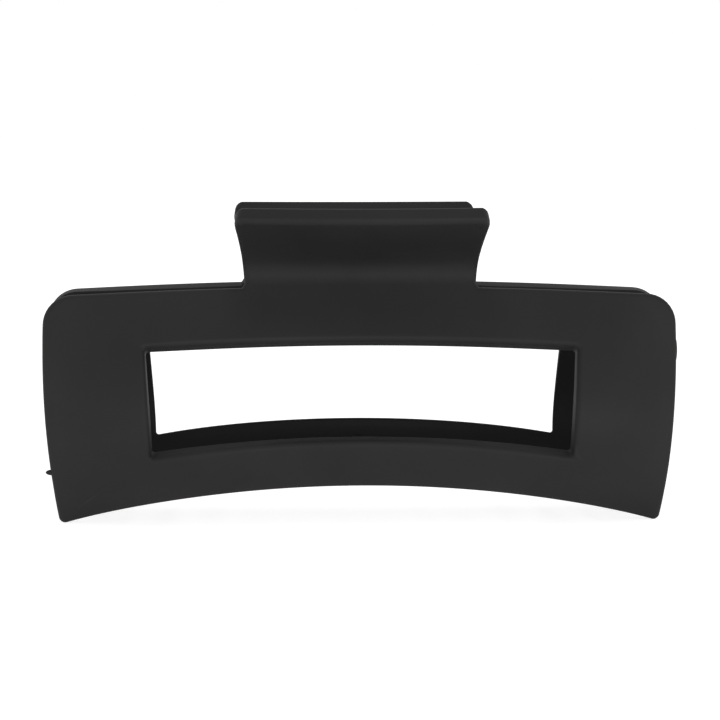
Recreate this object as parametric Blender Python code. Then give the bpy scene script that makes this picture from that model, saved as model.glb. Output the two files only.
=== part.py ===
"""A rectangular claw clip for hair, modelled closed and standing on its four lower corners.

+X runs along the clip, -Y is the front jaw's side and +Z is up towards the thumb handles. The origin is on
the ground, midway between the jaws. Two moulded jaws turn about one steel pin against a torsion spring.
"""

import math

import bmesh
import bpy
from mathutils import Matrix, Vector

MM = 0.001

# Frame outline, seen from the front (millimetres)
HALF_LENGTH = 55.15
WIDEST_Z = 27.7
SIDE_BOW = 0.0039
TOP_EDGE_Z = 41.17
TOP_EDGE_BOW = 0.0006
BOTTOM_EDGE_Z = 6.4
FOOT_START_X = 50.4
FOOT_RAMP = 0.4
FOOT_DEPTH_BELOW = 1.2
TOP_CORNER_RADIUS = 5.6
BOTTOM_CORNER_RADIUS = 1.0

# Window in each frame
WINDOW_TOP_Z = 31.85
WINDOW_TOP_BOW = 0.0008
WINDOW_BOTTOM_Z = 14.9
WINDOW_BOTTOM_BOW = 0.0025
WINDOW_HALF_WIDTH = 37.3
WINDOW_SIDE_LEAN = 0.056

# Thumb handle
HANDLE_NECK_HALF = 20.0
HANDLE_TIP_HALF = 21.85
HANDLE_TIP_Z = 52.3
HANDLE_TIP_DIP = 0.3
HANDLE_BOW = 2.4
HANDLE_BOW_START_Z = 44.0
NECK_FILLET = 1.5
HANDLE_CORNER_RADIUS = 1.2

# Depth of the outer face from the mid-plane at the clip's middle: height, depth
PROFILE = (
    (-2.0, 6.5),
    (4.0, 12.0),
    (8.0, 15.3),
    (12.0, 17.4),
    (16.0, 18.3),
    (21.0, 17.9),
    (27.0, 15.9),
    (33.0, 13.2),
    (38.0, 10.9),
    (40.2, 10.0),
    (41.6, 9.5),
    (43.2, 9.3),
    (44.6, 9.9),
    (46.2, 11.6),
    (48.0, 14.0),
    (53.6, 22.6),
)
RIM_DEPTH = 9.5
WRAP_LENGTH = 56.0
WRAP_POWER = 6

# Walls and edges
FRAME_WALL = 3.0
HANDLE_WALL = 3.0
EDGE_ROUND = 0.6
SHARP_ANGLE = math.radians(40)

# Mesh stations
HANDLE_COLUMNS = 4
SHOULDER_COLUMNS = 4
CORNER_STEPS = 4
SIDE_STEPS = 5
BOTTOM_STEPS = 8
RAIL_ROWS = 4
HANDLE_LEVELS = (0.06, 0.13, 0.22, 0.33, 0.46, 0.62, 0.78, 0.89, 0.96, 1.0)

# Hinge
AXIS_Z = 44.5
PIN_RADIUS = 1.0
BORE_RADIUS = 1.3
LUG_RADIUS = 3.6
FRONT_LUG = (7.2, 10.6)
REAR_LUG = (10.9, 14.5)
PIN_GAP = 0.3
HEAD_RADIUS = 1.9
PEEN_RADIUS = 1.6
HEAD_LENGTH = 1.1
LUG_WALL_SHARE = 0.55
LUG_WALL_STEPS = 5
ROUND_STEPS = 20

# Teeth
TOOTH_PITCH = 13.3
REAR_TEETH = tuple(TOOTH_PITCH * n for n in range(-3, 4))
FRONT_TEETH = tuple(TOOTH_PITCH * (n + 0.5) for n in range(-4, 4))
TOOTH_ROOT_RISE = 3.4
TOOTH_TIP_RISE = 1.0
TOOTH_ROOT_HALF_HEIGHT = 2.7
TOOTH_TIP_HALF_HEIGHT = 0.7
TOOTH_ROOT_HALF_WIDTH = 1.8
TOOTH_TIP_HALF_WIDTH = 0.8
TOOTH_ROOT_INSET = 1.6
TOOTH_TIP_GAP = 0.7
TOOTH_BEND_RISE = 0.4
TOOTH_TURN = 0.4
TOOTH_STATIONS = 6
TOOTH_SIDES = 8

# Torsion spring
WIRE_RADIUS = 0.65
COIL_RADIUS = 3.5
COIL_PITCH = 1.45
LEG_LEAN = math.radians(35)
FULL_TURNS = 8
LEG_LENGTH = 8.6
POINTS_PER_TURN = 14


def hermite(points, at):
    """Smooth curve through the points, whose slope at each one is that between its neighbours."""
    last = len(points) - 1
    index = 0
    while index < last - 1 and at > points[index + 1][0]:
        index += 1

    def slope(i):
        low = points[max(i - 1, 0)]
        high = points[min(i + 1, last)]
        return (high[1] - low[1]) / (high[0] - low[0])

    (x0, y0), (x1, y1) = points[index], points[index + 1]
    width = x1 - x0
    t = (at - x0) / width
    start = y0 * (1 + 2 * t) * (1 - t) ** 2 + slope(index) * width * t * (1 - t) ** 2
    end = y1 * t * t * (3 - 2 * t) + slope(index + 1) * width * t * t * (t - 1)
    return start + end


def face_depth(x, z):
    """Distance of a jaw's outer face from the mid-plane."""
    wrap = min(abs(x) / WRAP_LENGTH, 1.0) ** WRAP_POWER
    depth = RIM_DEPTH + (hermite(PROFILE, z) - RIM_DEPTH) * (1 - wrap)
    rise = (z - HANDLE_BOW_START_Z) / (HANDLE_TIP_Z - HANDLE_BOW_START_Z)
    rise = min(max(rise, 0.0), 1.0)
    return depth - HANDLE_BOW * rise * (x / HANDLE_TIP_HALF) ** 2


def face_slope(x, z):
    """Change in the outer face's depth for each unit of height."""
    step = 0.1
    return (face_depth(x, z + step) - face_depth(x, z - step)) / (2 * step)


def top_edge(x):
    return TOP_EDGE_Z - TOP_EDGE_BOW * x * x


def bottom_edge(x):
    """The lower edge arches up in the middle and runs just below the ground at the feet."""
    past = abs(x) - FOOT_START_X
    if past > 0:
        return -FOOT_DEPTH_BELOW * min(past / FOOT_RAMP, 1.0)
    return BOTTOM_EDGE_Z * (1 - (x / FOOT_START_X) ** 2)


def side_edge(z):
    return HALF_LENGTH - SIDE_BOW * (z - WIDEST_Z) ** 2


def window_side(z):
    return WINDOW_HALF_WIDTH - WINDOW_SIDE_LEAN * (WINDOW_TOP_Z - z)


def window_top(x):
    return WINDOW_TOP_Z - WINDOW_TOP_BOW * x * x


def window_bottom(x):
    return WINDOW_BOTTOM_Z - WINDOW_BOTTOM_BOW * x * x


def spread(start, end, steps):
    """Values after start, up to and including end."""
    return [start + (end - start) * (i + 1) / steps for i in range(steps)]


def corner_arc(edge, radius, turn_from, turn_to):
    """Quarter round between the given edge curve and the frame's side."""
    centre_x = HALF_LENGTH - radius
    centre_z = WIDEST_Z
    for _ in range(4):
        start_x = centre_x + radius * math.cos(turn_from)
        centre_z = edge(start_x) - radius * math.sin(turn_from)
        centre_x = side_edge(centre_z + radius * math.sin(turn_to)) - radius * math.cos(turn_to)
    angles = [turn_from + (turn_to - turn_from) * i / CORNER_STEPS for i in range(CORNER_STEPS + 1)]
    return [(centre_x + radius * math.cos(a), centre_z + radius * math.sin(a)) for a in angles]


def half_outline():
    """Right half of the frame's outline, from the top middle round to the bottom middle."""
    top_arc = corner_arc(top_edge, TOP_CORNER_RADIUS, math.radians(87), math.radians(3))
    foot_arc = corner_arc(bottom_edge, BOTTOM_CORNER_RADIUS, math.radians(-80), math.radians(-12))
    foot_arc.reverse()
    junction = HANDLE_NECK_HALF + NECK_FILLET
    columns = [0.0]
    columns += spread(0.0, junction, HANDLE_COLUMNS)
    columns += spread(junction, top_arc[0][0], SHOULDER_COLUMNS)
    points = [(x, top_edge(x)) for x in columns[:-1]]
    points += top_arc
    heights = spread(top_arc[-1][1], foot_arc[0][1], SIDE_STEPS)
    points += [(side_edge(z), z) for z in heights[:-1]]
    points += foot_arc
    points += [(x, bottom_edge(x)) for x in spread(foot_arc[-1][0], 0.0, BOTTOM_STEPS)]
    return points


def half_window(outline):
    """Window edge points that face the outline's points one to one."""
    half_corner = CORNER_STEPS // 2
    top_count = HANDLE_COLUMNS + SHOULDER_COLUMNS + half_corner
    side_count = CORNER_STEPS + SIDE_STEPS
    bottom_count = len(outline) - 1 - top_count - side_count
    corner_x = outline[top_count][0]
    top_corner = window_side(window_top(WINDOW_HALF_WIDTH))
    bottom_corner = window_side(window_bottom(WINDOW_HALF_WIDTH))
    points = []
    for x, _ in outline[:top_count + 1]:
        inner_x = x / corner_x * top_corner
        points.append((inner_x, window_top(inner_x)))
    for z in spread(window_top(top_corner), window_bottom(bottom_corner), side_count):
        points.append((window_side(z), z))
    for x in spread(window_side(points[-1][1]), 0.0, bottom_count):
        points.append((x, window_bottom(x)))
    return points


def full_loop(half):
    """Closed loop from a right half, with the two points on the middle line used once."""
    mirrored = [(-x, z) for x, z in half[1:-1]]
    return half + mirrored[::-1]


def handle_half_width(z, tip_z):
    """Half the handle's width: a fillet into the frame, a slow flare, and round top corners."""
    base = top_edge(HANDLE_NECK_HALF)
    flare = min(max((z - base) / (tip_z - base), 0.0), 1.0)
    half = HANDLE_NECK_HALF + (HANDLE_TIP_HALF - HANDLE_NECK_HALF) * flare ** 1.5
    below = max(NECK_FILLET - (z - base), 0.0)
    if below > 0:
        half += NECK_FILLET - math.sqrt(max(NECK_FILLET ** 2 - below ** 2, 0.0))
    above = max(HANDLE_CORNER_RADIUS - (tip_z - z), 0.0)
    if above > 0:
        half -= HANDLE_CORNER_RADIUS - math.sqrt(max(HANDLE_CORNER_RADIUS ** 2 - above ** 2, 0.0))
    return half


def jaw_surface(side):
    """Outer face of one jaw as an open sheet of quads; side is -1 for the front and 1 for the rear."""
    bm = bmesh.new()

    def vertex(x, z):
        return bm.verts.new(Vector((x, side * face_depth(x, z), z)) * MM)

    half = half_outline()
    outer = full_loop(half)
    inner = full_loop(half_window(half))
    count = len(outer)
    rings = []
    for row in range(RAIL_ROWS + 1):
        t = row / RAIL_ROWS
        ring = []
        for (xi, zi), (xo, zo) in zip(inner, outer):
            ring.append(vertex(xi + (xo - xi) * t, zi + (zo - zi) * t))
        rings.append(ring)
    for lower, upper in zip(rings, rings[1:]):
        for i in range(count):
            j = (i + 1) % count
            bm.faces.new((lower[i], lower[j], upper[j], upper[i]))

    line = [rings[-1][i % count] for i in range(-HANDLE_COLUMNS, HANDLE_COLUMNS + 1)]
    junction = HANDLE_NECK_HALF + NECK_FILLET
    fractions = [v.co.x / MM / junction for v in line]
    for level in HANDLE_LEVELS:
        following = []
        for fraction in fractions:
            base_z = top_edge(fraction * junction)
            tip_z = HANDLE_TIP_Z + HANDLE_TIP_DIP * fraction * fraction
            z = base_z + (tip_z - base_z) * level
            following.append(vertex(fraction * handle_half_width(z, tip_z), z))
        for i in range(len(line) - 1):
            bm.faces.new((line[i], line[i + 1], following[i + 1], following[i]))
        line = following

    bmesh.ops.recalc_face_normals(bm, faces=bm.faces[:])
    bm.normal_update()
    if bm.faces[:][0].normal.y * side < 0:
        bmesh.ops.reverse_faces(bm, faces=bm.faces[:])
    return bm


def thicken(bm):
    """Give the sheet its wall, measured along its normals, and close it round every edge."""
    bm.normal_update()
    sheet = bm.faces[:]
    borders = [edge for edge in bm.edges if edge.is_boundary]
    inside = {}
    for vert in bm.verts[:]:
        rise = (vert.co.z / MM - TOP_EDGE_Z) / (HANDLE_BOW_START_Z - TOP_EDGE_Z)
        wall = FRAME_WALL + (HANDLE_WALL - FRAME_WALL) * min(max(rise, 0.0), 1.0)
        inside[vert] = bm.verts.new(vert.co - vert.normal * wall * MM)
    for edge in borders:
        loop = edge.link_loops[0]
        a, b = loop.vert, loop.link_loop_next.vert
        bm.faces.new((b, a, inside[a], inside[b]))
    for face in sheet:
        bm.faces.new([inside[v] for v in reversed(face.verts)])


def add_object(name, bm, material=None):
    mesh = bpy.data.meshes.new(name)
    bm.normal_update()
    bm.to_mesh(mesh)
    bm.free()
    obj = bpy.data.objects.new(name, mesh)
    bpy.context.collection.objects.link(obj)
    if material:
        mesh.materials.append(material)
    return obj


def make_guide(name, bm):
    """A shape that only adds to or cuts another one."""
    guide = add_object(name, bm)
    guide.hide_render = True
    guide.display_type = "WIRE"
    return guide


def add_boolean(obj, guide, operation):
    modifier = obj.modifiers.new(guide.name, "BOOLEAN")
    modifier.operation = operation
    modifier.solver = "EXACT"
    modifier.object = guide
    return modifier


def extrude_outline(bm, outline, low_x, high_x):
    """Closed prism between two X values from an outline of (y, z) points."""
    near = [bm.verts.new(Vector((low_x, y, z)) * MM) for y, z in outline]
    far = [bm.verts.new(Vector((high_x, y, z)) * MM) for y, z in outline]
    count = len(outline)
    bm.faces.new(near[::-1])
    bm.faces.new(far)
    for i in range(count):
        j = (i + 1) % count
        bm.faces.new((near[i], near[j], far[j], far[i]))


def lug_outline(side):
    """Knuckle round the axis, reaching into the handle's wall above and below."""
    points = []
    for i in range(ROUND_STEPS // 2 + 1):
        angle = math.radians(90) - math.pi * i / (ROUND_STEPS // 2)
        points.append((-side * LUG_RADIUS * math.cos(angle), AXIS_Z + LUG_RADIUS * math.sin(angle)))
    for i in range(LUG_WALL_STEPS + 1):
        z = AXIS_Z - LUG_RADIUS + 2 * LUG_RADIUS * i / LUG_WALL_STEPS
        lean = math.sqrt(1 + face_slope(0, z) ** 2)
        points.append((side * (face_depth(0, z) - LUG_WALL_SHARE * HANDLE_WALL * lean), z))
    return points


def lugs(side, span):
    bm = bmesh.new()
    outline = lug_outline(side)
    for low, high in (span, (-span[1], -span[0])):
        extrude_outline(bm, outline, low, high)
    bmesh.ops.recalc_face_normals(bm, faces=bm.faces[:])
    return bm


def axis_cylinder(radius, half_length):
    bm = bmesh.new()
    turn = Matrix.Rotation(math.radians(90), 4, "Y")
    place = Matrix.Translation(Vector((0, 0, AXIS_Z)) * MM) @ turn
    bmesh.ops.create_cone(bm, cap_ends=True, segments=ROUND_STEPS, radius1=radius * MM,
                          radius2=radius * MM, depth=2 * half_length * MM, matrix=place)
    return bm


def add_taper(bm, sections):
    """Closed tapering bar through sections of (centre, across, along_x, half_height, half_width)."""
    rings = []
    for centre, across, along_x, half_height, half_width in sections:
        ring = []
        for step in range(TOOTH_SIDES):
            angle = 2 * math.pi * (step + 0.5) / TOOTH_SIDES
            point = centre + across * half_height * math.sin(angle) + along_x * half_width * math.cos(angle)
            ring.append(bm.verts.new(point * MM))
        rings.append(ring)
    for ring, following in zip(rings, rings[1:]):
        for i in range(TOOTH_SIDES):
            j = (i + 1) % TOOTH_SIDES
            bm.faces.new((ring[i], ring[j], following[j], following[i]))
    bm.faces.new(rings[0][::-1])
    bm.faces.new(rings[-1])


def wall_tangent(x, z, side):
    """Unit vector up the frame's wall, in the plane across the clip."""
    return Vector((0, side * face_slope(x, z), 1)).normalized()


def tooth_line(x, side):
    """Root, bend and tip of a claw tooth: from the rail's wall, past the mid-plane, to the other rail."""
    base = bottom_edge(x)
    root_z = base + TOOTH_ROOT_RISE
    tip_z = base + TOOTH_TIP_RISE
    up = wall_tangent(x, root_z, side)
    outward = Vector((0, side * up.z, -side * up.y))
    root = Vector((x, side * face_depth(x, root_z), root_z)) - outward * TOOTH_ROOT_INSET
    tip = Vector((x, -side * (face_depth(x, tip_z) - FRAME_WALL - TOOTH_TIP_GAP), tip_z))
    bend = Vector((x, root.y * 0.4, tip_z + TOOTH_BEND_RISE))
    return root, bend, tip, up


def add_tooth(bm, x, side):
    root, bend, tip, up = tooth_line(x, side)
    sections = []
    for station in range(TOOTH_STATIONS + 1):
        t = station / TOOTH_STATIONS
        centre = root * (1 - t) ** 2 + bend * 2 * t * (1 - t) + tip * t * t
        along = (bend - root) * (1 - t) + (tip - bend) * t
        square = Vector((0, along.z, -along.y)).normalized() * side
        across = up.lerp(square, min(t / TOOTH_TURN, 1.0)).normalized()
        half_height = TOOTH_ROOT_HALF_HEIGHT + (TOOTH_TIP_HALF_HEIGHT - TOOTH_ROOT_HALF_HEIGHT) * t ** 0.7
        half_width = TOOTH_ROOT_HALF_WIDTH + (TOOTH_TIP_HALF_WIDTH - TOOTH_ROOT_HALF_WIDTH) * t
        sections.append((centre, across, Vector((1, 0, 0)), half_height, half_width))
    add_taper(bm, sections)


def teeth(side, places):
    bm = bmesh.new()
    for x in places:
        add_tooth(bm, x, side)
    bmesh.ops.recalc_face_normals(bm, faces=bm.faces[:])
    return bm


def ground_block():
    """Cuts every foot flat at the ground."""
    bm = bmesh.new()
    depth = 10.0
    size = Matrix.Diagonal((140 * MM, 60 * MM, depth * MM, 1))
    place = Matrix.Translation(Vector((0, 0, -depth / 2)) * MM) @ size
    bmesh.ops.create_cube(bm, size=1.0, matrix=place)
    return bm


def make_material(name, colour, roughness, metallic=0.0):
    material = bpy.data.materials.new(name)
    material.use_nodes = True
    shader = material.node_tree.nodes["Principled BSDF"]
    shader.inputs["Base Color"].default_value = (*colour, 1.0)
    shader.inputs["Roughness"].default_value = roughness
    shader.inputs["Metallic"].default_value = metallic
    return material


def make_jaw(name, side, lug_span, tooth_places, material):
    bm = jaw_surface(side)
    thicken(bm)
    jaw = add_object(name, bm, material)
    rounding = jaw.modifiers.new("edge_round", "BEVEL")
    rounding.width = EDGE_ROUND * MM
    rounding.segments = 2
    rounding.limit_method = "ANGLE"
    rounding.angle_limit = SHARP_ANGLE
    jaw.modifiers.new("flat_faces", "TRIANGULATE")
    add_boolean(jaw, make_guide(name + "_teeth", teeth(side, tooth_places)), "UNION")
    add_boolean(jaw, make_guide(name + "_lugs", lugs(side, lug_span)), "UNION")
    add_boolean(jaw, make_guide(name + "_bore", axis_cylinder(BORE_RADIUS, REAR_LUG[1] + 5)), "DIFFERENCE")
    add_boolean(jaw, make_guide(name + "_ground", ground_block()), "DIFFERENCE")
    set_origin(jaw, Vector((0, 0, AXIS_Z)) * MM)
    return jaw


def set_origin(obj, point):
    """Put the object's origin on the hinge axis without moving its shape."""
    obj.data.transform(Matrix.Translation(-point))
    obj.location = point


def turned_shape(profile):
    """Closed solid turned about the hinge axis from (x, radius) points that start and end on it."""
    bm = bmesh.new()
    start = bm.verts.new(Vector((profile[0][0], 0, AXIS_Z)) * MM)
    end = bm.verts.new(Vector((profile[-1][0], 0, AXIS_Z)) * MM)
    rings = []
    for x, radius in profile[1:-1]:
        ring = []
        for step in range(ROUND_STEPS):
            angle = 2 * math.pi * step / ROUND_STEPS
            point = Vector((x, radius * math.cos(angle), AXIS_Z + radius * math.sin(angle)))
            ring.append(bm.verts.new(point * MM))
        rings.append(ring)
    for i in range(ROUND_STEPS):
        j = (i + 1) % ROUND_STEPS
        bm.faces.new((start, rings[0][i], rings[0][j]))
        bm.faces.new((end, rings[-1][j], rings[-1][i]))
        for ring, following in zip(rings, rings[1:]):
            bm.faces.new((ring[i], following[i], following[j], ring[j]))
    bmesh.ops.recalc_face_normals(bm, faces=bm.faces[:])
    return bm


def make_pin(material):
    inner = REAR_LUG[1] + PIN_GAP
    outer = inner + HEAD_LENGTH
    profile = [(-outer, 0.0), (-outer, PEEN_RADIUS * 0.6), (-inner - 0.5, PEEN_RADIUS), (-inner, PEEN_RADIUS)]
    profile += [(-inner, PIN_RADIUS), (inner, PIN_RADIUS)]
    profile += [(inner, HEAD_RADIUS), (inner + 0.4, HEAD_RADIUS), (outer, HEAD_RADIUS * 0.55), (outer, 0.0)]
    pin = add_object("hinge_pin", turned_shape(profile), material)
    pin.data.shade_smooth()
    pin.data.set_sharp_from_angle(angle=SHARP_ANGLE)
    set_origin(pin, Vector((0, 0, AXIS_Z)) * MM)
    return pin


def spring_path():
    """Middle line of the wire: rear leg, coil, front leg."""
    total = math.radians(360 * FULL_TURNS) - (math.pi + 2 * LEG_LEAN)
    start = -LEG_LEAN
    half = COIL_PITCH * total / (2 * math.pi) / 2
    steps = round(POINTS_PER_TURN * total / (2 * math.pi))
    coil = []
    for step in range(steps + 1):
        t = step / steps
        angle = start - total * t
        x = -half + 2 * half * t
        coil.append(Vector((x, COIL_RADIUS * math.cos(angle), AXIS_Z + COIL_RADIUS * math.sin(angle))))
    lean = Vector((0, math.sin(LEG_LEAN), math.cos(LEG_LEAN)))
    rear_end = coil[0] + lean * LEG_LENGTH
    front_end = coil[-1] + Vector((0, -lean.y, lean.z)) * LEG_LENGTH
    return [rear_end] + coil + [front_end]


def make_spring(material):
    curve = bpy.data.curves.new("torsion_spring", "CURVE")
    curve.dimensions = "3D"
    curve.bevel_depth = WIRE_RADIUS * MM
    curve.bevel_resolution = 1
    curve.use_fill_caps = True
    spline = curve.splines.new("POLY")
    points = spring_path()
    spline.points.add(len(points) - 1)
    for target, point in zip(spline.points, points):
        place = (point - Vector((0, 0, AXIS_Z))) * MM
        target.co = (*place, 1.0)
    curve.materials.append(material)
    spring = bpy.data.objects.new("torsion_spring", curve)
    spring.location = Vector((0, 0, AXIS_Z)) * MM
    bpy.context.collection.objects.link(spring)
    return spring


def main():
    for obj in list(bpy.data.objects):
        bpy.data.objects.remove(obj)
    plastic = make_material("matte_black_plastic", (0.028, 0.026, 0.026), 0.55)
    rear_plastic = make_material("matte_black_plastic_rear", (0.028, 0.026, 0.026), 0.55)
    wire = make_material("spring_steel", (0.42, 0.41, 0.40), 0.32, 1.0)
    steel = make_material("pin_steel", (0.55, 0.54, 0.52), 0.28, 1.0)
    make_jaw("front_jaw", -1, FRONT_LUG, FRONT_TEETH, plastic)
    make_jaw("rear_jaw", 1, REAR_LUG, REAR_TEETH, rear_plastic)
    make_pin(steel)
    make_spring(wire)


main()
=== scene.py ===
import math

import bmesh
import bpy
from mathutils import Matrix, Vector


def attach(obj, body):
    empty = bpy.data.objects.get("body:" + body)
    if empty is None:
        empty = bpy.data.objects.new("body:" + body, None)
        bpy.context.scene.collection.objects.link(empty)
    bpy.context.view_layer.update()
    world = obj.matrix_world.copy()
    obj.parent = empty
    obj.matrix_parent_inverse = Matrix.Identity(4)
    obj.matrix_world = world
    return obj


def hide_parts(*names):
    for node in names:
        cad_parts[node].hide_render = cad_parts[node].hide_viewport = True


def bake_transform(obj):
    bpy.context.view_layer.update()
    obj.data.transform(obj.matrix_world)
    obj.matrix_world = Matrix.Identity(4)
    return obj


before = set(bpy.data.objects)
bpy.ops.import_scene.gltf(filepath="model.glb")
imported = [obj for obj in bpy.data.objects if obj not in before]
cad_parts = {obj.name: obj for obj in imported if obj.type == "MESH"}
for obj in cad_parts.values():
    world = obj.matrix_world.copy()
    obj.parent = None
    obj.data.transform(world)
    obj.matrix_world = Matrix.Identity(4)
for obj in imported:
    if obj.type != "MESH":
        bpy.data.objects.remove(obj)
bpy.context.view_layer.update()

MM = 0.001

# Frame outline, seen from the front (millimetres, as in the CAD)
HALF_LENGTH = 55.2
WIDEST_Z = 27.7
SIDE_BOW = 0.0039
TOP_EDGE_Z = 41.17
TOP_EDGE_BOW = 0.0006
BOTTOM_EDGE_Z = 6.4
FOOT_START_X = 51.0
FOOT_DROP = 0.25
TOP_CORNER_RADIUS = 5.6
BOTTOM_CORNER_RADIUS = 1.3
# Where each corner's arc leaves the edge and meets the side, in degrees: top corner, bottom corner
FRAME_CORNER_ANGLES = (87, 3, -74, -13)

# Window in each frame
WINDOW_TOP_Z = 31.85
WINDOW_TOP_BOW = 0.0008
WINDOW_BOTTOM_Z = 14.9
WINDOW_BOTTOM_BOW = 0.0025
WINDOW_HALF_WIDTH = 37.3
WINDOW_SIDE_LEAN = 0.056
WINDOW_CORNER_RADIUS = 0.6
WINDOW_CORNER_ANGLES = (87, -3, -80, 3)

# Thumb handle
HANDLE_NECK_HALF = 20.0
HANDLE_TIP_HALF = 22.35
HANDLE_TIP_Z = 52.3
HANDLE_TIP_DIP = 0.3
HANDLE_BOW = 2.4
HANDLE_BOW_START_Z = 44.0
HANDLE_FLARE_POWER = 1.5
HANDLE_CORNER_RADIUS = 1.8
NECK_FILLET = 0.5

# Depth of the outer face from the mid-plane at the clip's middle: height, depth
PROFILE = (
    (-2.0, 6.5),
    (4.0, 12.0),
    (8.0, 15.3),
    (12.0, 17.4),
    (16.0, 18.3),
    (21.0, 17.9),
    (27.0, 15.9),
    (33.0, 13.2),
    (38.0, 10.9),
    (40.2, 10.0),
    (41.6, 9.5),
    (43.2, 9.3),
    (44.6, 9.9),
    (46.2, 11.6),
    (48.0, 14.0),
    (53.6, 22.6),
)
RIM_DEPTH = 9.5
WRAP_LENGTH = 56.0
WRAP_POWER = 6

# Walls and edge rounding
WALL = 3.0
FACE_EDGE_ROUND = 0.95
HANDLE_EDGE_SHARE = 1.15
INNER_EDGE_SHARE = 0.5
HANDLE_INNER_SHARE = 0.75
EDGE_SEGMENTS = 5
# Rims that lie higher than this above the frame's top edge belong to the handle
HANDLE_EDGE_START = 0.5
# Smooth shading stops at edges that turn by more than this
JAW_SHARP_TURN = math.radians(50)
SHARP_TURN = math.radians(40)
FACE_WEIGHT = 80

# How finely the jaws are divided
HANDLE_COLUMNS = 12
SHOULDER_COLUMNS = 16
CORNER_STEPS = 10
CORNER_PASSES = 8
SIDE_STEPS = 18
BOTTOM_STEPS = 32
RIM_ROW = 0.17
RAIL_ROWS = 9
HANDLE_ROWS = 15
HANDLE_CORNER_STEPS = 6

# Hinge
AXIS_Z = 44.5
PIN_RADIUS = 1.0
BORE_RADIUS = 1.15
LUG_RADIUS = 3.6
LUG_ROUND = 0.3
LUG_WALL_SHARE = 0.55
LUG_WALL_STEPS = 10
LUG_ROUND_SEGMENTS = 3
ROUNDED_TURN = math.radians(40)
FRONT_LUG = (7.2, 10.6)
REAR_LUG = (10.9, 14.5)
PIN_GAP = 0.3
HEAD_RADIUS = 1.9
PEEN_RADIUS = 1.6
HEAD_LENGTH = 1.1
HEAD_RIM = 0.35
HEAD_DOME_STEPS = 8
CUTTER_PAST = 5.0
ROUND_STEPS = 48

# Teeth
TOOTH_PITCH = 13.3
REAR_TEETH = tuple(TOOTH_PITCH * n for n in range(-3, 4))
FRONT_TEETH = tuple(TOOTH_PITCH * (n + 0.5) for n in range(-4, 4))
TOOTH_ROOT_RISE = 3.4
TOOTH_TIP_RISE = 1.0
TOOTH_BEND_RISE = 0.4
TOOTH_BEND_SHARE = 0.4
TOOTH_TURN = 0.4
TOOTH_TAPER_POWER = 0.7
TOOTH_ROOT_HALF_HEIGHT = 2.7
TOOTH_TIP_HALF_HEIGHT = 0.7
TOOTH_ROOT_HALF_WIDTH = 1.8
TOOTH_TIP_HALF_WIDTH = 0.8
TOOTH_ROOT_INSET = 1.6
TOOTH_TIP_GAP = 0.7
TOOTH_ROOT_FLARE = 0.9
TOOTH_FLARE_END = 0.2
TOOTH_STATIONS = 24
TOOTH_TIP_STEPS = 5
TOOTH_TIP_END = math.radians(84)
TOOTH_SIDES = 20

# Moulding marks on the front jaw's sides: side, height, reach past the side's outline, half height
SIDE_MARKS = (
    (-1, 8.9, 0.60, 0.50),
    (1, 29.6, -0.12, 2.2),
)
MARK_SUNK = 0.5
MARK_SETBACK = 0.9
MARK_HALF_DEPTH = 0.6
MARK_SUBDIVISIONS = 4

# Torsion spring
WIRE_RADIUS = 0.65
COIL_RADIUS = 3.5
COIL_PITCH = 1.45
LEG_LEAN = math.radians(35)
FULL_TURNS = 8
LEG_LENGTH = 8.6
LEG_STEPS = 10
POINTS_PER_TURN = 32
WIRE_SIDES = 16
WIRE_CHAMFER = 0.3

# Painted shade on the faces that turn inwards: the stored name of its share, and how fast it grows as a
# face turns inwards
INSIDE_SHADE_MASK = "inside"
INSIDE_SHADE_GROWTH = 1.5

# Camera and floor
CAMERA_PLACE = (-22.5, -520.0, 71.65)
CAMERA_TARGET = (0.3, 0.0, 27.3)
CAMERA_LENS = 148.25
SENSOR_WIDTH = 36.0
CAMERA_NEAR = 0.01
FLOOR_HALF = 6.0
FLOOR_GLOW = 0.32
FLOOR_SEEN_GLOW = 0.82
# Brightness of the surroundings at the sine of each height angle
SURROUNDINGS = ((0.0, 0.85), (0.12, 0.60), (0.35, 0.47), (0.80, 0.42), (1.0, 0.70))
# Area lights in metres and watts: name, place, target, width and height, power
LIGHTS = (
    ("front", (0.35, -1.3, 0.17), (0, 0, 0.03), (1.6, 0.3), 2.3),
    ("rear_rim", (-0.1, 1.0, 0.85), (0, 0, 0.04), (1.4, 0.5), 1.3),
)


# ---------------------------------------------------------------- shapes

def hermite(points, at):
    """Smooth curve through the points, whose slope at each one is that between its neighbours."""
    last = len(points) - 1
    index = 0
    while index < last - 1 and at > points[index + 1][0]:
        index += 1

    def slope(i):
        low = points[max(i - 1, 0)]
        high = points[min(i + 1, last)]
        return (high[1] - low[1]) / (high[0] - low[0])

    (x0, y0), (x1, y1) = points[index], points[index + 1]
    width = x1 - x0
    t = (at - x0) / width
    start = y0 * (1 + 2 * t) * (1 - t) ** 2 + slope(index) * width * t * (1 - t) ** 2
    end = y1 * t * t * (3 - 2 * t) + slope(index + 1) * width * t * t * (t - 1)
    return start + end


def face_depth(x, z):
    """Distance of a jaw's outer face from the mid-plane."""
    wrap = min(abs(x) / WRAP_LENGTH, 1.0) ** WRAP_POWER
    depth = RIM_DEPTH + (hermite(PROFILE, z) - RIM_DEPTH) * (1 - wrap)
    rise = (z - HANDLE_BOW_START_Z) / (HANDLE_TIP_Z - HANDLE_BOW_START_Z)
    rise = min(max(rise, 0.0), 1.0)
    return depth - HANDLE_BOW * rise * (x / HANDLE_TIP_HALF) ** 2


def face_slope(x, z):
    """Change in the outer face's depth for each unit of height."""
    step = 0.1
    return (face_depth(x, z + step) - face_depth(x, z - step)) / (2 * step)


def top_edge(x):
    return TOP_EDGE_Z - TOP_EDGE_BOW * x * x


def bottom_edge(x):
    """The lower edge arches up in the middle and ends just below the ground at the feet."""
    return (BOTTOM_EDGE_Z + FOOT_DROP) * (1 - (x / FOOT_START_X) ** 2) - FOOT_DROP


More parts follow.
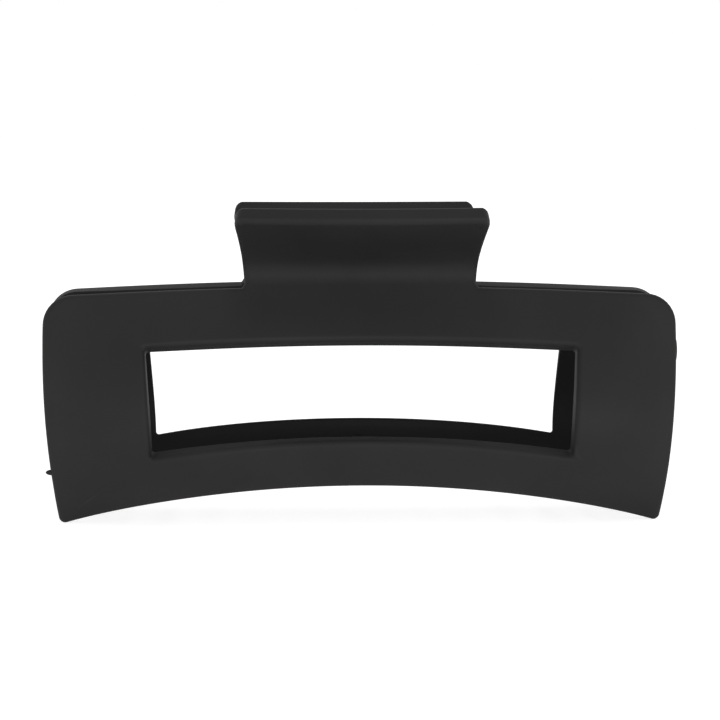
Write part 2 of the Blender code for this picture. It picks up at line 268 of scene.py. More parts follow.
def side_edge(z):
    return HALF_LENGTH - SIDE_BOW * (z - WIDEST_Z) ** 2


def window_side(z):
    return WINDOW_HALF_WIDTH - WINDOW_SIDE_LEAN * (WINDOW_TOP_Z - z)


def window_top(x):
    return WINDOW_TOP_Z - WINDOW_TOP_BOW * x * x


def window_bottom(x):
    return WINDOW_BOTTOM_Z - WINDOW_BOTTOM_BOW * x * x


def spread(start, end, steps):
    """Values after start, up to and including end."""
    return [start + (end - start) * (i + 1) / steps for i in range(steps)]


def corner_arc(edge, side, radius, turn_from, turn_to):
    """Quarter round from an edge curve z(x) to a side curve x(z), whose centre a few passes settle."""
    centre_x = side(WIDEST_Z) - radius
    centre_z = WIDEST_Z
    for _ in range(CORNER_PASSES):
        start_x = centre_x + radius * math.cos(turn_from)
        centre_z = edge(start_x) - radius * math.sin(turn_from)
        centre_x = side(centre_z + radius * math.sin(turn_to)) - radius * math.cos(turn_to)
    angles = [turn_from + (turn_to - turn_from) * i / CORNER_STEPS for i in range(CORNER_STEPS + 1)]
    return [(centre_x + radius * math.cos(a), centre_z + radius * math.sin(a)) for a in angles]


def half_loop(columns, top, side, bottom, top_radius, bottom_radius, corner_angles):
    """Right half of a rounded four-sided loop, from the top middle round to the bottom middle."""
    top_start, top_end, bottom_start, bottom_end = (math.radians(a) for a in corner_angles)
    top_arc = corner_arc(top, side, top_radius, top_start, top_end)
    bottom_arc = corner_arc(bottom, side, bottom_radius, bottom_start, bottom_end)[::-1]
    reach = top_arc[0][0]
    points = [(x * reach, top(x * reach)) for x in columns]
    points += top_arc
    heights = spread(top_arc[-1][1], bottom_arc[0][1], SIDE_STEPS)
    points += [(side(z), z) for z in heights[:-1]]
    points += bottom_arc
    points += [(x, bottom(x)) for x in spread(bottom_arc[-1][0], 0.0, BOTTOM_STEPS)]
    return points


def frame_loops():
    """The frame's outline and its window, as right halves whose points match one to one."""
    top_angle = math.radians(FRAME_CORNER_ANGLES[0])
    outer_reach = corner_arc(top_edge, side_edge, TOP_CORNER_RADIUS, top_angle, 0)[0][0]
    junction = (HANDLE_NECK_HALF + NECK_FILLET) / outer_reach
    columns = [0.0] + spread(0.0, junction, HANDLE_COLUMNS) + spread(junction, 1.0, SHOULDER_COLUMNS)[:-1]
    outer = half_loop(columns, top_edge, side_edge, bottom_edge, TOP_CORNER_RADIUS, BOTTOM_CORNER_RADIUS,
                      FRAME_CORNER_ANGLES)
    inner = half_loop(columns, window_top, window_side, window_bottom, WINDOW_CORNER_RADIUS,
                      WINDOW_CORNER_RADIUS, WINDOW_CORNER_ANGLES)
    return outer, inner


def full_loop(half):
    """Closed loop from a right half, with the two points on the middle line used once."""
    mirrored = [(-x, z) for x, z in half[1:-1]]
    return half + mirrored[::-1]


def handle_half_width(z, tip_z):
    """Half the handle's width: a fillet out of the frame, then a slow flare."""
    base = top_edge(HANDLE_NECK_HALF)
    flare = min(max((z - base) / (tip_z - base), 0.0), 1.0)
    half = HANDLE_NECK_HALF + (HANDLE_TIP_HALF - HANDLE_NECK_HALF) * flare ** HANDLE_FLARE_POWER
    below = max(NECK_FILLET - (z - base), 0.0)
    return half + NECK_FILLET - math.sqrt(max(NECK_FILLET ** 2 - below ** 2, 0.0))


def handle_tip(fraction):
    """Height of the handle's tip edge, which dips a little in the middle."""
    return HANDLE_TIP_Z + HANDLE_TIP_DIP * fraction * fraction


def handle_corner(start, low_z):
    """Points of the handle's round corner between its side and its tip edge, with both ends left out."""
    tip_z = handle_tip(1.0)
    points = []
    for angle in spread(0.0, math.pi / 2, HANDLE_CORNER_STEPS)[:-1]:
        z = low_z + (tip_z - low_z) * math.sin(angle)
        share = start + (1 - start) * math.cos(angle)
        points.append((share * handle_half_width(z, tip_z), z))
    return points


def row_shares():
    """Shares of the rail's width, with one row kept clear of each rim for the rounding."""
    return [0.0] + [RIM_ROW] + spread(RIM_ROW, 1 - RIM_ROW, RAIL_ROWS) + [1.0]


def join_rows(bm, row, following, closed):
    """Quads between two rows of points, whose ends meet when the rows are closed."""
    count = len(row)
    for i in range(count if closed else count - 1):
        j = (i + 1) % count
        bm.faces.new((row[i], row[j], following[j], following[i]))


def add_frame(bm, vertex):
    """The frame as rings of quads from its window out to its outline, whose points are returned."""
    outer_half, inner_half = frame_loops()
    outer = full_loop(outer_half)
    inner = full_loop(inner_half)
    rings = []
    for share in row_shares():
        ring = []
        for (xi, zi), (xo, zo) in zip(inner, outer):
            ring.append(vertex(xi + (xo - xi) * share, zi + (zo - zi) * share))
        rings.append(ring)
    for lower, upper in zip(rings, rings[1:]):
        join_rows(bm, lower, upper, True)
    return rings[-1]


def add_handle(bm, vertex, line):
    """The thumb handle as rows of quads above a line of the outline's points, with two round corners."""
    junction = HANDLE_NECK_HALF + NECK_FILLET
    fractions = [v.co.x / MM / junction for v in line]
    for level in spread(0.0, 1 - HANDLE_CORNER_RADIUS / (HANDLE_TIP_Z - TOP_EDGE_Z), HANDLE_ROWS):
        following = []
        for fraction in fractions:
            base_z = top_edge(fraction * junction)
            z = base_z + (handle_tip(fraction) - base_z) * level
            following.append(vertex(fraction * handle_half_width(z, handle_tip(fraction)), z))
        join_rows(bm, line, following, False)
        line = following

    tip = []
    for fraction in fractions[1:-1]:
        z = handle_tip(fraction)
        tip.append(vertex(fraction * handle_half_width(z, z), z))
    join_rows(bm, line[1:-1], tip, False)
    arc = handle_corner(fractions[-2], line[-1].co.z / MM)
    bm.faces.new([line[-2], line[-1]] + [vertex(x, z) for x, z in arc] + [tip[-1]])
    bm.faces.new([line[0], line[1], tip[0]] + [vertex(-x, z) for x, z in arc[::-1]])


def jaw_sheet(side):
    """Outer face of one jaw as an open sheet; side is -1 for the front and 1 for the rear."""
    bm = bmesh.new()

    def vertex(x, z):
        return bm.verts.new(Vector((x, side * face_depth(x, z), z)) * MM)

    outline = add_frame(bm, vertex)
    line = [outline[i % len(outline)] for i in range(-HANDLE_COLUMNS, HANDLE_COLUMNS + 1)]
    add_handle(bm, vertex, line)
    bmesh.ops.recalc_face_normals(bm, faces=bm.faces[:])
    bm.normal_update()
    if bm.faces[:][0].normal.y * side < 0:
        bmesh.ops.reverse_faces(bm, faces=bm.faces[:])
    return bm


def thicken(bm):
    """Give the sheet its wall along its normals, close it, and weight its edges for rounding."""
    bm.normal_update()
    weight = bm.edges.layers.float.new("bevel_weight_edge")
    sheet = bm.faces[:]
    borders = [edge for edge in bm.edges if edge.is_boundary]
    inside = {}
    for vert in bm.verts[:]:
        inside[vert] = bm.verts.new(vert.co - vert.normal * WALL * MM)
    for edge in borders:
        loop = edge.link_loops[0]
        a, b = loop.vert, loop.link_loop_next.vert
        bm.faces.new((b, a, inside[a], inside[b]))
    for face in sheet:
        bm.faces.new([inside[v] for v in reversed(face.verts)])
    handle_z = (TOP_EDGE_Z + HANDLE_EDGE_START) * MM
    for edge in borders:
        height = (edge.verts[0].co.z + edge.verts[1].co.z) / 2
        on_handle = height > handle_z
        opposite = bm.edges.get((inside[edge.verts[0]], inside[edge.verts[1]]))
        edge[weight] = HANDLE_EDGE_SHARE if on_handle else 1.0
        opposite[weight] = HANDLE_INNER_SHARE if on_handle else INNER_EDGE_SHARE


def add_object(name, bm, material=None, smooth=True):
    """New object in the scene from a bmesh, which is used up."""
    mesh = bpy.data.meshes.new(name)
    bm.normal_update()
    bm.to_mesh(mesh)
    bm.free()
    if smooth:
        mesh.shade_smooth()
    obj = bpy.data.objects.new(name, mesh)
    bpy.context.collection.objects.link(obj)
    if material:
        mesh.materials.append(material)
    return obj


def apply_modifiers(obj):
    """Bake the modifiers into the object's own mesh."""
    graph = bpy.context.evaluated_depsgraph_get()
    mesh = bpy.data.meshes.new_from_object(obj.evaluated_get(graph), depsgraph=graph)
    obj.modifiers.clear()
    old = obj.data
    obj.data = mesh
    bpy.data.meshes.remove(old)


def boolean(obj, other, operation):
    """Join or cut with another object, which is used up."""
    modifier = obj.modifiers.new("boolean", "BOOLEAN")
    modifier.operation = operation
    modifier.solver = "EXACT"
    modifier.object = other
    apply_modifiers(obj)
    bpy.data.objects.remove(other)


def round_edges(obj, width, segments, weighted):
    """Round the weighted edges by their shares of the width, or else every sharp edge by all of it."""
    modifier = obj.modifiers.new("edge_round", "BEVEL")
    modifier.width = width * MM
    modifier.segments = segments
    modifier.limit_method = "WEIGHT" if weighted else "ANGLE"
    modifier.angle_limit = ROUNDED_TURN
    apply_modifiers(obj)


def extrude_outline(bm, outline, low_x, high_x):
    """Closed prism between two X values from an outline of (y, z) points."""
    near = [bm.verts.new(Vector((low_x, y, z)) * MM) for y, z in outline]
    far = [bm.verts.new(Vector((high_x, y, z)) * MM) for y, z in outline]
    bm.faces.new(near[::-1])
    bm.faces.new(far)
    join_rows(bm, near, far, True)


def lug_outline(side):
    """Knuckle round the axis, reaching into the handle's wall above and below."""
    points = []
    steps = ROUND_STEPS // 2
    for i in range(steps + 1):
        angle = math.radians(90) - math.pi * i / steps
        points.append((-side * LUG_RADIUS * math.cos(angle), AXIS_Z + LUG_RADIUS * math.sin(angle)))
    for i in range(LUG_WALL_STEPS + 1):
        z = AXIS_Z - LUG_RADIUS + 2 * LUG_RADIUS * i / LUG_WALL_STEPS
        lean = math.sqrt(1 + face_slope(0, z) ** 2)
        points.append((side * (face_depth(0, z) - LUG_WALL_SHARE * WALL * lean), z))
    return points


def make_lugs(side, span):
    """The two knuckles of one jaw with their bores, mirrored left and right."""
    bm = bmesh.new()
    outline = lug_outline(side)
    for low, high in (span, (-span[1], -span[0])):
        extrude_outline(bm, outline, low, high)
    bmesh.ops.recalc_face_normals(bm, faces=bm.faces[:])
    lugs = add_object("lugs", bm)
    bore = add_object("bore", axis_cylinder(BORE_RADIUS, REAR_LUG[1] + CUTTER_PAST))
    boolean(lugs, bore, "DIFFERENCE")
    round_edges(lugs, LUG_ROUND, LUG_ROUND_SEGMENTS, False)
    return lugs


def axis_cylinder(radius, half_length):
    """Cylinder round the hinge axis, centred on the clip."""
    bm = bmesh.new()
    turn = Matrix.Rotation(math.radians(90), 4, "Y")
    place = Matrix.Translation(Vector((0, 0, AXIS_Z)) * MM) @ turn
    bmesh.ops.create_cone(bm, cap_ends=True, segments=ROUND_STEPS, radius1=radius * MM,
                          radius2=radius * MM, depth=2 * half_length * MM, matrix=place)
    return bm


def add_taper(bm, sections):
    """Closed tapering bar through sections of (centre, across, along_x, half_height, half_width)."""
    rings = []
    for centre, across, along_x, half_height, half_width in sections:
        ring = []
        for step in range(TOOTH_SIDES):
            angle = 2 * math.pi * (step + 0.5) / TOOTH_SIDES
            point = centre + across * half_height * math.sin(angle) + along_x * half_width * math.cos(angle)
            ring.append(bm.verts.new(point * MM))
        rings.append(ring)
    for ring, following in zip(rings, rings[1:]):
        join_rows(bm, ring, following, True)
    bm.faces.new(rings[0][::-1])
    bm.faces.new(rings[-1])


def wall_tangent(x, z, side):
    """Unit vector up the frame's wall, in the plane across the clip."""
    return Vector((0, side * face_slope(x, z), 1)).normalized()


def tooth_line(x, side):
    """Root, bend and tip of a claw tooth: from the rail's wall, past the mid-plane, to the other rail."""
    base = bottom_edge(x)
    root_z = base + TOOTH_ROOT_RISE
    tip_z = base + TOOTH_TIP_RISE
    up = wall_tangent(x, root_z, side)
    outward = Vector((0, side * up.z, -side * up.y))
    root = Vector((x, side * face_depth(x, root_z), root_z)) - outward * TOOTH_ROOT_INSET
    tip = Vector((x, -side * (face_depth(x, tip_z) - WALL - TOOTH_TIP_GAP), tip_z))
    bend = Vector((x, root.y * TOOTH_BEND_SHARE, tip_z + TOOTH_BEND_RISE))
    return root, bend, tip, up


def tooth_stations(end_speed):
    """Positions along a tooth, and their share of the full section, which closes in a half round."""
    reach = TOOTH_TIP_HALF_HEIGHT / end_speed
    stations = [(t * (1 - reach), 1.0) for t in [0.0] + spread(0.0, 1.0, TOOTH_STATIONS)]
    for angle in spread(0.0, TOOTH_TIP_END, TOOTH_TIP_STEPS):
        stations.append((1 - reach * (1 - math.sin(angle)), math.cos(angle)))
    return stations


def add_tooth(bm, x, side):
    """A claw tooth that flares into its rail and ends in a round tip."""
    root, bend, tip, up = tooth_line(x, side)
    sections = []
    end_speed = 2 * (tip - bend).length
    for t, share in tooth_stations(end_speed):
        centre = root * (1 - t) ** 2 + bend * 2 * t * (1 - t) + tip * t * t
        along = (bend - root) * (1 - t) + (tip - bend) * t
        square = Vector((0, along.z, -along.y)).normalized() * side
        across = up.lerp(square, min(t / TOOTH_TURN, 1.0)).normalized()
        taper = t ** TOOTH_TAPER_POWER
        half_height = TOOTH_ROOT_HALF_HEIGHT + (TOOTH_TIP_HALF_HEIGHT - TOOTH_ROOT_HALF_HEIGHT) * taper
        half_width = TOOTH_ROOT_HALF_WIDTH + (TOOTH_TIP_HALF_WIDTH - TOOTH_ROOT_HALF_WIDTH) * t
        half_width *= 1 + TOOTH_ROOT_FLARE * max(1 - t / TOOTH_FLARE_END, 0.0) ** 2
        sections.append((centre, across, Vector((1, 0, 0)), half_height * share, half_width * share))
    add_taper(bm, sections)


def make_teeth(side, places):
    """One jaw's row of claw teeth."""
    bm = bmesh.new()
    for x in places:
        add_tooth(bm, x, side)
    bmesh.ops.recalc_face_normals(bm, faces=bm.faces[:])
    return add_object("teeth", bm)


def make_side_marks():
    """Small round marks where the moulding was parted from its runner, on the rim of the front jaw."""
    bm = bmesh.new()
    for hand, height, proud, half_height in SIDE_MARKS:
        x = side_edge(height) - MARK_SUNK
        y = -(face_depth(x, height) - MARK_SETBACK)
        size = Matrix.Diagonal(((proud + MARK_SUNK) * MM, MARK_HALF_DEPTH * MM, half_height * MM, 1))
        place = Matrix.Translation(Vector((hand * x, y, height)) * MM) @ size
        bmesh.ops.create_icosphere(bm, subdivisions=MARK_SUBDIVISIONS, radius=1.0, matrix=place)
    return add_object("side_marks", bm)


def cut_at_ground(obj):
    """Trim the feet flat at the ground."""
    bm = bmesh.new()
    bm.from_mesh(obj.data)
    geometry = bm.verts[:] + bm.edges[:] + bm.faces[:]
    bmesh.ops.bisect_plane(bm, geom=geometry, plane_co=(0, 0, 0), plane_no=(0, 0, -1), clear_outer=True)
    borders = [edge for edge in bm.edges if edge.is_boundary]
    bmesh.ops.holes_fill(bm, edges=borders)
    bm.to_mesh(obj.data)
    bm.free()


def mark_inside_shade(mesh, side):
    """Store how far each point faces inwards, which the material uses for painted shade."""
    mask = mesh.attributes.new(INSIDE_SHADE_MASK, "FLOAT", "POINT")
    for vertex, value in zip(mesh.vertices, mask.data):
        value.value = min(max(0.5 - INSIDE_SHADE_GROWTH * side * vertex.normal.y, 0.0), 1.0)


def make_jaw(name, side, lug_span, tooth_places, material):
    """One whole moulding: walled sheet, rounded edges, knuckles, teeth and flat feet."""
    bm = jaw_sheet(side)
    thicken(bm)
    jaw = add_object(name, bm)
    round_edges(jaw, FACE_EDGE_ROUND, EDGE_SEGMENTS, True)
    boolean(jaw, make_lugs(side, lug_span), "UNION")
    boolean(jaw, make_teeth(side, tooth_places), "UNION")
    if side < 0:
        boolean(jaw, make_side_marks(), "UNION")
    cut_at_ground(jaw)
    mark_inside_shade(jaw.data, side)
    jaw.data.materials.clear()
    jaw.data.materials.append(material)
    jaw.data.shade_smooth()
    jaw.data.set_sharp_from_angle(angle=JAW_SHARP_TURN)
    weighted = jaw.modifiers.new("face_weighted", "WEIGHTED_NORMAL")
    weighted.keep_sharp = True
    weighted.weight = FACE_WEIGHT
    return jaw


def turned_shape(profile):
    """Closed solid turned about the hinge axis from (x, radius) points that start and end on it."""
    bm = bmesh.new()
    start = bm.verts.new(Vector((profile[0][0], 0, AXIS_Z)) * MM)
    end = bm.verts.new(Vector((profile[-1][0], 0, AXIS_Z)) * MM)
    rings = []
    for x, radius in profile[1:-1]:
        ring = []
        for step in range(ROUND_STEPS):
            angle = 2 * math.pi * step / ROUND_STEPS
            point = Vector((x, radius * math.cos(angle), AXIS_Z + radius * math.sin(angle)))
            ring.append(bm.verts.new(point * MM))
        rings.append(ring)
    for i in range(ROUND_STEPS):
        j = (i + 1) % ROUND_STEPS
        bm.faces.new((start, rings[0][i], rings[0][j]))
        bm.faces.new((end, rings[-1][j], rings[-1][i]))
        for ring, following in zip(rings, rings[1:]):
            bm.faces.new((ring[i], following[i], following[j], ring[j]))
    bmesh.ops.recalc_face_normals(bm, faces=bm.faces[:])
    return bm


def domed_end(inner, outer, radius, hand):
    """Profile points of a low dome with a small flat rim, from its underside to its crown."""
    points = [(hand * inner, radius), (hand * (inner + HEAD_RIM), radius)]
    for step in range(1, HEAD_DOME_STEPS):
        angle = math.pi / 2 * step / HEAD_DOME_STEPS
        x = inner + HEAD_RIM + (outer - inner - HEAD_RIM) * math.sin(angle)
        points.append((hand * x, radius * math.cos(angle)))
    return points


def make_pin(material):
    """Hinge pin with its peened end on the left and its formed head on the right."""
    inner = REAR_LUG[1] + PIN_GAP
    outer = inner + HEAD_LENGTH
    profile = [(-outer, 0.0)]
    profile += domed_end(inner, outer, PEEN_RADIUS, -1)[::-1]
    profile += [(-inner, PIN_RADIUS), (inner, PIN_RADIUS)]
    profile += domed_end(inner, outer, HEAD_RADIUS, 1)
    profile += [(outer, 0.0)]
    pin = add_object("hinge_pin_turned", turned_shape(profile), material)
    pin.data.set_sharp_from_angle(angle=SHARP_TURN)
    return pin


def spring_path():
    """Middle line of the wire: rear leg, coil, front leg."""
    total = math.radians(360 * FULL_TURNS) - (math.pi + 2 * LEG_LEAN)
    start = -LEG_LEAN
    half = COIL_PITCH * total / (2 * math.pi) / 2
    steps = round(POINTS_PER_TURN * total / (2 * math.pi))
    coil = []
    for step in range(steps + 1):
        t = step / steps
        angle = start - total * t
        x = -half + 2 * half * t
        coil.append(Vector((x, COIL_RADIUS * math.cos(angle), AXIS_Z + COIL_RADIUS * math.sin(angle))))
    rear_lean = Vector((0, math.sin(LEG_LEAN), math.cos(LEG_LEAN)))
    front_lean = Vector((0, -rear_lean.y, rear_lean.z))
    lengths = [LEG_LENGTH * (LEG_STEPS - i) / LEG_STEPS for i in range(LEG_STEPS)]
    rear_leg = [coil[0] + rear_lean * length for length in lengths]
    front_leg = [coil[-1] + front_lean * length for length in lengths[::-1]]
    return rear_leg + coil + front_leg, half


def sweep_wire(points, radius, sides):
    """Round wire along the points, with a turning frame that never twists and chamfered cut ends."""
    bm = bmesh.new()
    rings = []
    normal = None
    count = len(points)
    end_share = 1 - WIRE_CHAMFER
    stations = [(0, end_share)] + [(i, 1.0) for i in range(count)] + [(count - 1, end_share)]
    chamfer = radius * WIRE_CHAMFER
    for order, (i, share) in enumerate(stations):
        before = points[max(i - 1, 0)]
        after = points[min(i + 1, count - 1)]
        tangent = (after - before).normalized()
        if normal is None:
            normal = tangent.cross(Vector((1, 0, 0))).normalized()
        normal = (normal - tangent * normal.dot(tangent)).normalized()
        side = tangent.cross(normal)
        centre = points[i].copy()
        if order == 1:
            centre += tangent * chamfer
        if order == len(stations) - 2:
            centre -= tangent * chamfer
        ring = []
        for step in range(sides):
            angle = 2 * math.pi * step / sides
            offset = normal * math.cos(angle) + side * math.sin(angle)
            ring.append(bm.verts.new((centre + offset * radius * share) * MM))
        rings.append(ring)
    for ring, following in zip(rings, rings[1:]):
        join_rows(bm, ring, following, True)
    bm.faces.new(rings[0][::-1])
    bm.faces.new(rings[-1])
    bmesh.ops.recalc_face_normals(bm, faces=bm.faces[:])
    return bm


def make_spring(material):
    """Torsion spring, and half the length of its coil."""
    points, half = spring_path()
    spring = add_object("torsion_spring_wire", sweep_wire(points, WIRE_RADIUS, WIRE_SIDES), material)
    spring.data.set_sharp_from_angle(angle=SHARP_TURN)
    return spring, half


# ---------------------------------------------------------------- materials

class Nodes:
    """Shorthand for building one material's node tree."""

    def __init__(self, name):
        self.material = bpy.data.materials.new(name)
        self.material.use_nodes = True
        self.tree = self.material.node_tree
        self.shader = self.tree.nodes["Principled BSDF"]
        self.coordinates = self.tree.nodes.new("ShaderNodeTexCoord").outputs["Object"]

    def node(self, kind, **inputs):
        made = self.tree.nodes.new(kind)
        for key, value in inputs.items():
            made.inputs[key].default_value = value
        return made

    def link(self, source, target):
        self.tree.links.new(source, target)

    def noise(self, scale, detail=3.0, roughness=0.5, stretch=None):
        texture = self.node("ShaderNodeTexNoise", Scale=scale, Detail=detail, Roughness=roughness)
        source = self.coordinates
        if stretch:
            mapping = self.node("ShaderNodeMapping", Scale=stretch)
            self.link(source, mapping.inputs["Vector"])
            source = mapping.outputs["Vector"]
        self.link(source, texture.inputs["Vector"])
        return texture.outputs["Fac"]

    def ramp(self, source, low, high, dark, light):
        """Map a value's low..high span onto dark..light."""
        node = self.node("ShaderNodeMapRange")
        node.inputs["From Min"].default_value = low
        node.inputs["From Max"].default_value = high
        node.inputs["To Min"].default_value = dark
        node.inputs["To Max"].default_value = light
        self.link(source, node.inputs["Value"])
        return node.outputs["Result"]

    def maths(self, operation, a, b):
        node = self.tree.nodes.new("ShaderNodeMath")
        node.operation = operation
        for socket, value in zip(node.inputs, (a, b)):
            if isinstance(value, (int, float)):
                socket.default_value = value
            else:
                self.link(value, socket)
        return node.outputs["Value"]

    def mix_colour(self, share, first, second):
        node = self.tree.nodes.new("ShaderNodeMix")
        node.data_type = "RGBA"
        node.inputs[6].default_value = (*first, 1.0)
        node.inputs[7].default_value = (*second, 1.0)
        self.link(share, node.inputs["Factor"])
        return node.outputs[2]

    def mix(self, share, first, second, kind):
        """Blend two sockets; the sockets of a mix node come in a group for each kind of value."""
        node = self.tree.nodes.new("ShaderNodeMix")
        node.data_type = kind
        group = {"FLOAT": (2, 3, 0), "RGBA": (6, 7, 2)}[kind]
        self.link(share, node.inputs["Factor"])
        self.link(first, node.inputs[group[0]])
        self.link(second, node.inputs[group[1]])
        return node.outputs[group[2]]

    def attribute(self, name):
        node = self.tree.nodes.new("ShaderNodeAttribute")
        node.attribute_name = name
        return node.outputs["Fac"]

    def bump(self, height, distance, strength, under=None):
        node = self.node("ShaderNodeBump", Distance=distance, Strength=strength)
        self.link(height, node.inputs["Height"])
        if under:
            self.link(under, node.inputs["Normal"])
        return node.outputs["Normal"]


def soft_touch_plastic(name, seed_shift):
    """Black moulding with a matte coat outside, painted shade (a much darker colour) on the faces that turn
    inwards, and a painted highlight along the edges.
    """
    n = Nodes(name)
    inside = n.attribute(INSIDE_SHADE_MASK)
    grain = n.noise(9000.0, 2.0, 0.6)
    clouds = n.noise(60.0 + seed_shift, 3.0, 0.55)
    flow = n.noise(90.0 + seed_shift, 2.0, 0.5, (0.25, 1.0, 1.0))
    # Pointiness picks out the rounded edges: their colour is lifted as a painted highlight, and their
    # roughness is lowered as polish
    edges = n.tree.nodes.new("ShaderNodeNewGeometry").outputs["Pointiness"]
    edge_polish_and_highlight = n.ramp(edges, 0.53, 0.60, 0.0, 1.0)
    tone = n.ramp(clouds, 0.3, 0.7, 0.0, 0.8)
    lift = n.maths("MINIMUM", n.maths("ADD", tone, n.maths("MULTIPLY", edge_polish_and_highlight, 0.9)), 1.0)
    coat = n.mix_colour(lift, (0.0195, 0.0180, 0.0183), (0.0262, 0.0245, 0.0248))
    # Faces that turn inwards get a much darker colour: painted shade inside the jaws
    painted_inside_shade = n.mix_colour(tone, (0.0052, 0.0049, 0.0049), (0.0070, 0.0066, 0.0066))
    n.link(n.mix(inside, coat, painted_inside_shade, "RGBA"), n.shader.inputs["Base Color"])
    coat_rough = n.maths("ADD", n.ramp(grain, 0.3, 0.7, 0.50, 0.60), n.ramp(flow, 0.35, 0.65, -0.03, 0.03))
    coat_rough = n.maths("SUBTRACT", coat_rough, n.maths("MULTIPLY", edge_polish_and_highlight, 0.08))
    inside_rough = n.ramp(flow, 0.3, 0.7, 0.50, 0.58)
    n.link(n.mix(inside, coat_rough, inside_rough, "FLOAT"), n.shader.inputs["Roughness"])
    broad = n.bump(clouds, 0.0004, 0.10)
    n.link(n.bump(grain, 0.00003, 0.35, broad), n.shader.inputs["Normal"])
    n.shader.inputs["IOR"].default_value = 1.40
    return n.material


def drawn_wire(name):
    """Spring steel wire: lengthwise drawing marks and a faint straw tint from heat setting."""
    n = Nodes(name)
    streaks = n.noise(2400.0, 3.0, 0.6, (1.0, 0.15, 0.15))
    patches = n.noise(220.0, 3.0, 0.5)
    colour = n.mix_colour(n.ramp(patches, 0.3, 0.7, 0.0, 1.0), (0.40, 0.385, 0.365), (0.55, 0.54, 0.53))
    n.link(colour, n.shader.inputs["Base Color"])
    n.link(n.ramp(streaks, 0.3, 0.7, 0.24, 0.40), n.shader.inputs["Roughness"])
    n.link(n.bump(streaks, 0.00002, 0.3), n.shader.inputs["Normal"])
    n.shader.inputs["Metallic"].default_value = 1.0
    return n.material


def turned_steel(name):
    """Pin steel: fine turning rings round the axis, with a few dull spots."""
    n = Nodes(name)
    rings = n.noise(5000.0, 2.0, 0.5, (1.0, 0.02, 0.02))
    spots = n.noise(500.0, 3.0, 0.6)
    colour = n.mix_colour(n.ramp(spots, 0.35, 0.7, 0.0, 1.0), (0.60, 0.59, 0.58), (0.46, 0.45, 0.43))
    n.link(colour, n.shader.inputs["Base Color"])
    n.link(n.ramp(rings, 0.3, 0.7, 0.18, 0.34), n.shader.inputs["Roughness"])
    n.link(n.bump(rings, 0.00002, 0.3), n.shader.inputs["Normal"])
    n.shader.inputs["Metallic"].default_value = 1.0
    return n.material


def floor_material():
    """Pale matte light table: it glows a little, and the camera sees it close to white."""
    n = Nodes("pale_floor")
    n.shader.inputs["Base Color"].default_value = (0.7, 0.7, 0.7, 1.0)
    n.shader.inputs["Roughness"].default_value = 0.9
    n.shader.inputs["Specular IOR Level"].default_value = 0.1
    n.shader.inputs["Emission Color"].default_value = (1.0, 1.0, 1.0, 1.0)
    seen = n.tree.nodes.new("ShaderNodeLightPath").outputs["Is Camera Ray"]
    glow = n.ramp(seen, 0.0, 1.0, FLOOR_GLOW, FLOOR_SEEN_GLOW)
    n.link(glow, n.shader.inputs["Emission Strength"])
    return n.material


# ---------------------------------------------------------------- stage

def add_floor():
    bm = bmesh.new()
    corners = [(-1, -1), (1, -1), (1, 1), (-1, 1)]
    bm.faces.new([bm.verts.new((x * FLOOR_HALF, y * FLOOR_HALF, 0)) for x, y in corners])
    floor = add_object("floor", bm, floor_material(), smooth=False)


def add_camera():
    data = bpy.data.cameras.new("camera")
    data.lens = CAMERA_LENS
    data.sensor_width = SENSOR_WIDTH
    camera = bpy.data.objects.new("camera", data)
    bpy.context.collection.objects.link(camera)
    place = Vector(CAMERA_PLACE) * MM
    camera.location = place
    camera.rotation_euler = (Vector(CAMERA_TARGET) * MM - place).to_track_quat("-Z", "Y").to_euler()
    data.clip_start = CAMERA_NEAR
    bpy.context.scene.camera = camera


def add_area_light(name, place, target, size, watts):
    data = bpy.data.lights.new(name, "AREA")
    data.shape = "RECTANGLE"
    data.size, data.size_y = size
    data.energy = watts
    light = bpy.data.objects.new(name, data)
    bpy.context.collection.objects.link(light)
    light.location = place
    light.rotation_euler = (Vector(target) - Vector(place)).to_track_quat("-Z", "Y").to_euler()


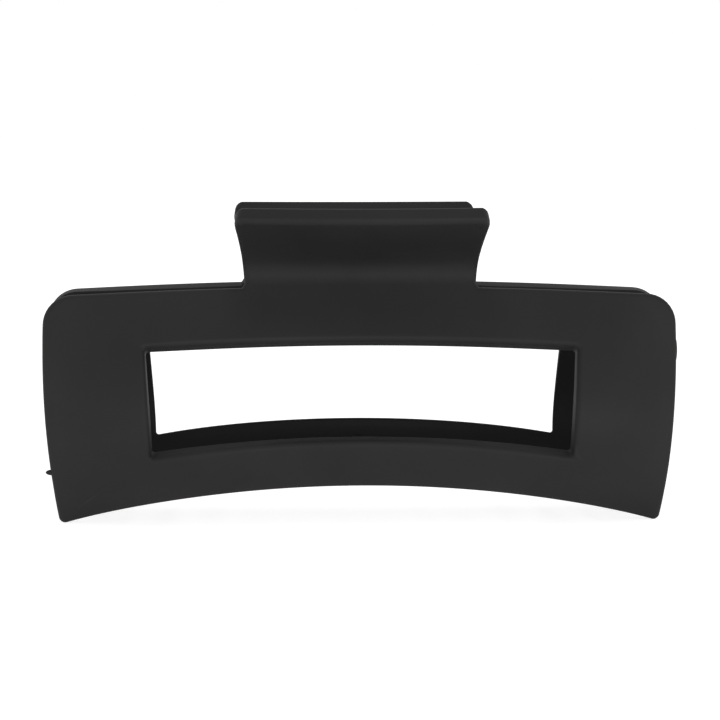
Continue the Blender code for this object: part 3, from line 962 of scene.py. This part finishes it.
def add_world():
    """White backdrop, with soft light from all round that is brightest near the horizon."""
    world = bpy.data.worlds.new("studio")
    world.use_nodes = True
    bpy.context.scene.world = world
    tree = world.node_tree
    tree.nodes.clear()
    output = tree.nodes.new("ShaderNodeOutputWorld")
    coordinates = tree.nodes.new("ShaderNodeTexCoord")
    split = tree.nodes.new("ShaderNodeSeparateXYZ")
    ramp = tree.nodes.new("ShaderNodeValToRGB")
    lit = tree.nodes.new("ShaderNodeBackground")
    seen = tree.nodes.new("ShaderNodeBackground")
    path = tree.nodes.new("ShaderNodeLightPath")
    mix = tree.nodes.new("ShaderNodeMixShader")
    while len(ramp.color_ramp.elements) < len(SURROUNDINGS):
        ramp.color_ramp.elements.new(0.5)
    for element, (position, value) in zip(ramp.color_ramp.elements, SURROUNDINGS):
        element.position = position
        element.color = (value, value, value, 1.0)
    tree.links.new(coordinates.outputs["Generated"], split.inputs[0])
    tree.links.new(split.outputs["Z"], ramp.inputs["Fac"])
    tree.links.new(ramp.outputs["Color"], lit.inputs["Color"])
    seen.inputs["Color"].default_value = (1.0, 1.0, 1.0, 1.0)
    tree.links.new(path.outputs["Is Camera Ray"], mix.inputs["Fac"])
    tree.links.new(lit.outputs[0], mix.inputs[1])
    tree.links.new(seen.outputs[0], mix.inputs[2])
    tree.links.new(mix.outputs[0], output.inputs["Surface"])


def build_stage():
    add_floor()
    add_world()
    add_camera()
    for light in LIGHTS:
        add_area_light(*light)
    bpy.context.scene.view_settings.view_transform = "Standard"


# ---------------------------------------------------------------- assembly

def build_clip():
    front_plastic = soft_touch_plastic("front_plastic", 0.0)
    rear_plastic = soft_touch_plastic("rear_plastic", 3.0)
    front = make_jaw("front_jaw_moulding", -1, FRONT_LUG, FRONT_TEETH, front_plastic)
    rear = make_jaw("rear_jaw_moulding", 1, REAR_LUG, REAR_TEETH, rear_plastic)
    pin = make_pin(turned_steel("pin_steel"))
    spring, half = make_spring(drawn_wire("spring_steel"))
    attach(front, "front")
    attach(rear, "rear")
    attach(pin, "rear")
    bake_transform(spring)
    for piece, node, slot in (
        (front, "front_jaw", "front_plastic"),
        (rear, "rear_jaw", "rear_plastic"),
        (pin, "hinge_pin", "pin_steel"),
        (spring, "torsion_spring", "spring_steel"),
    ):
        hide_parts(node)


build_stage()
build_clip()

bpy.context.view_layer.update()
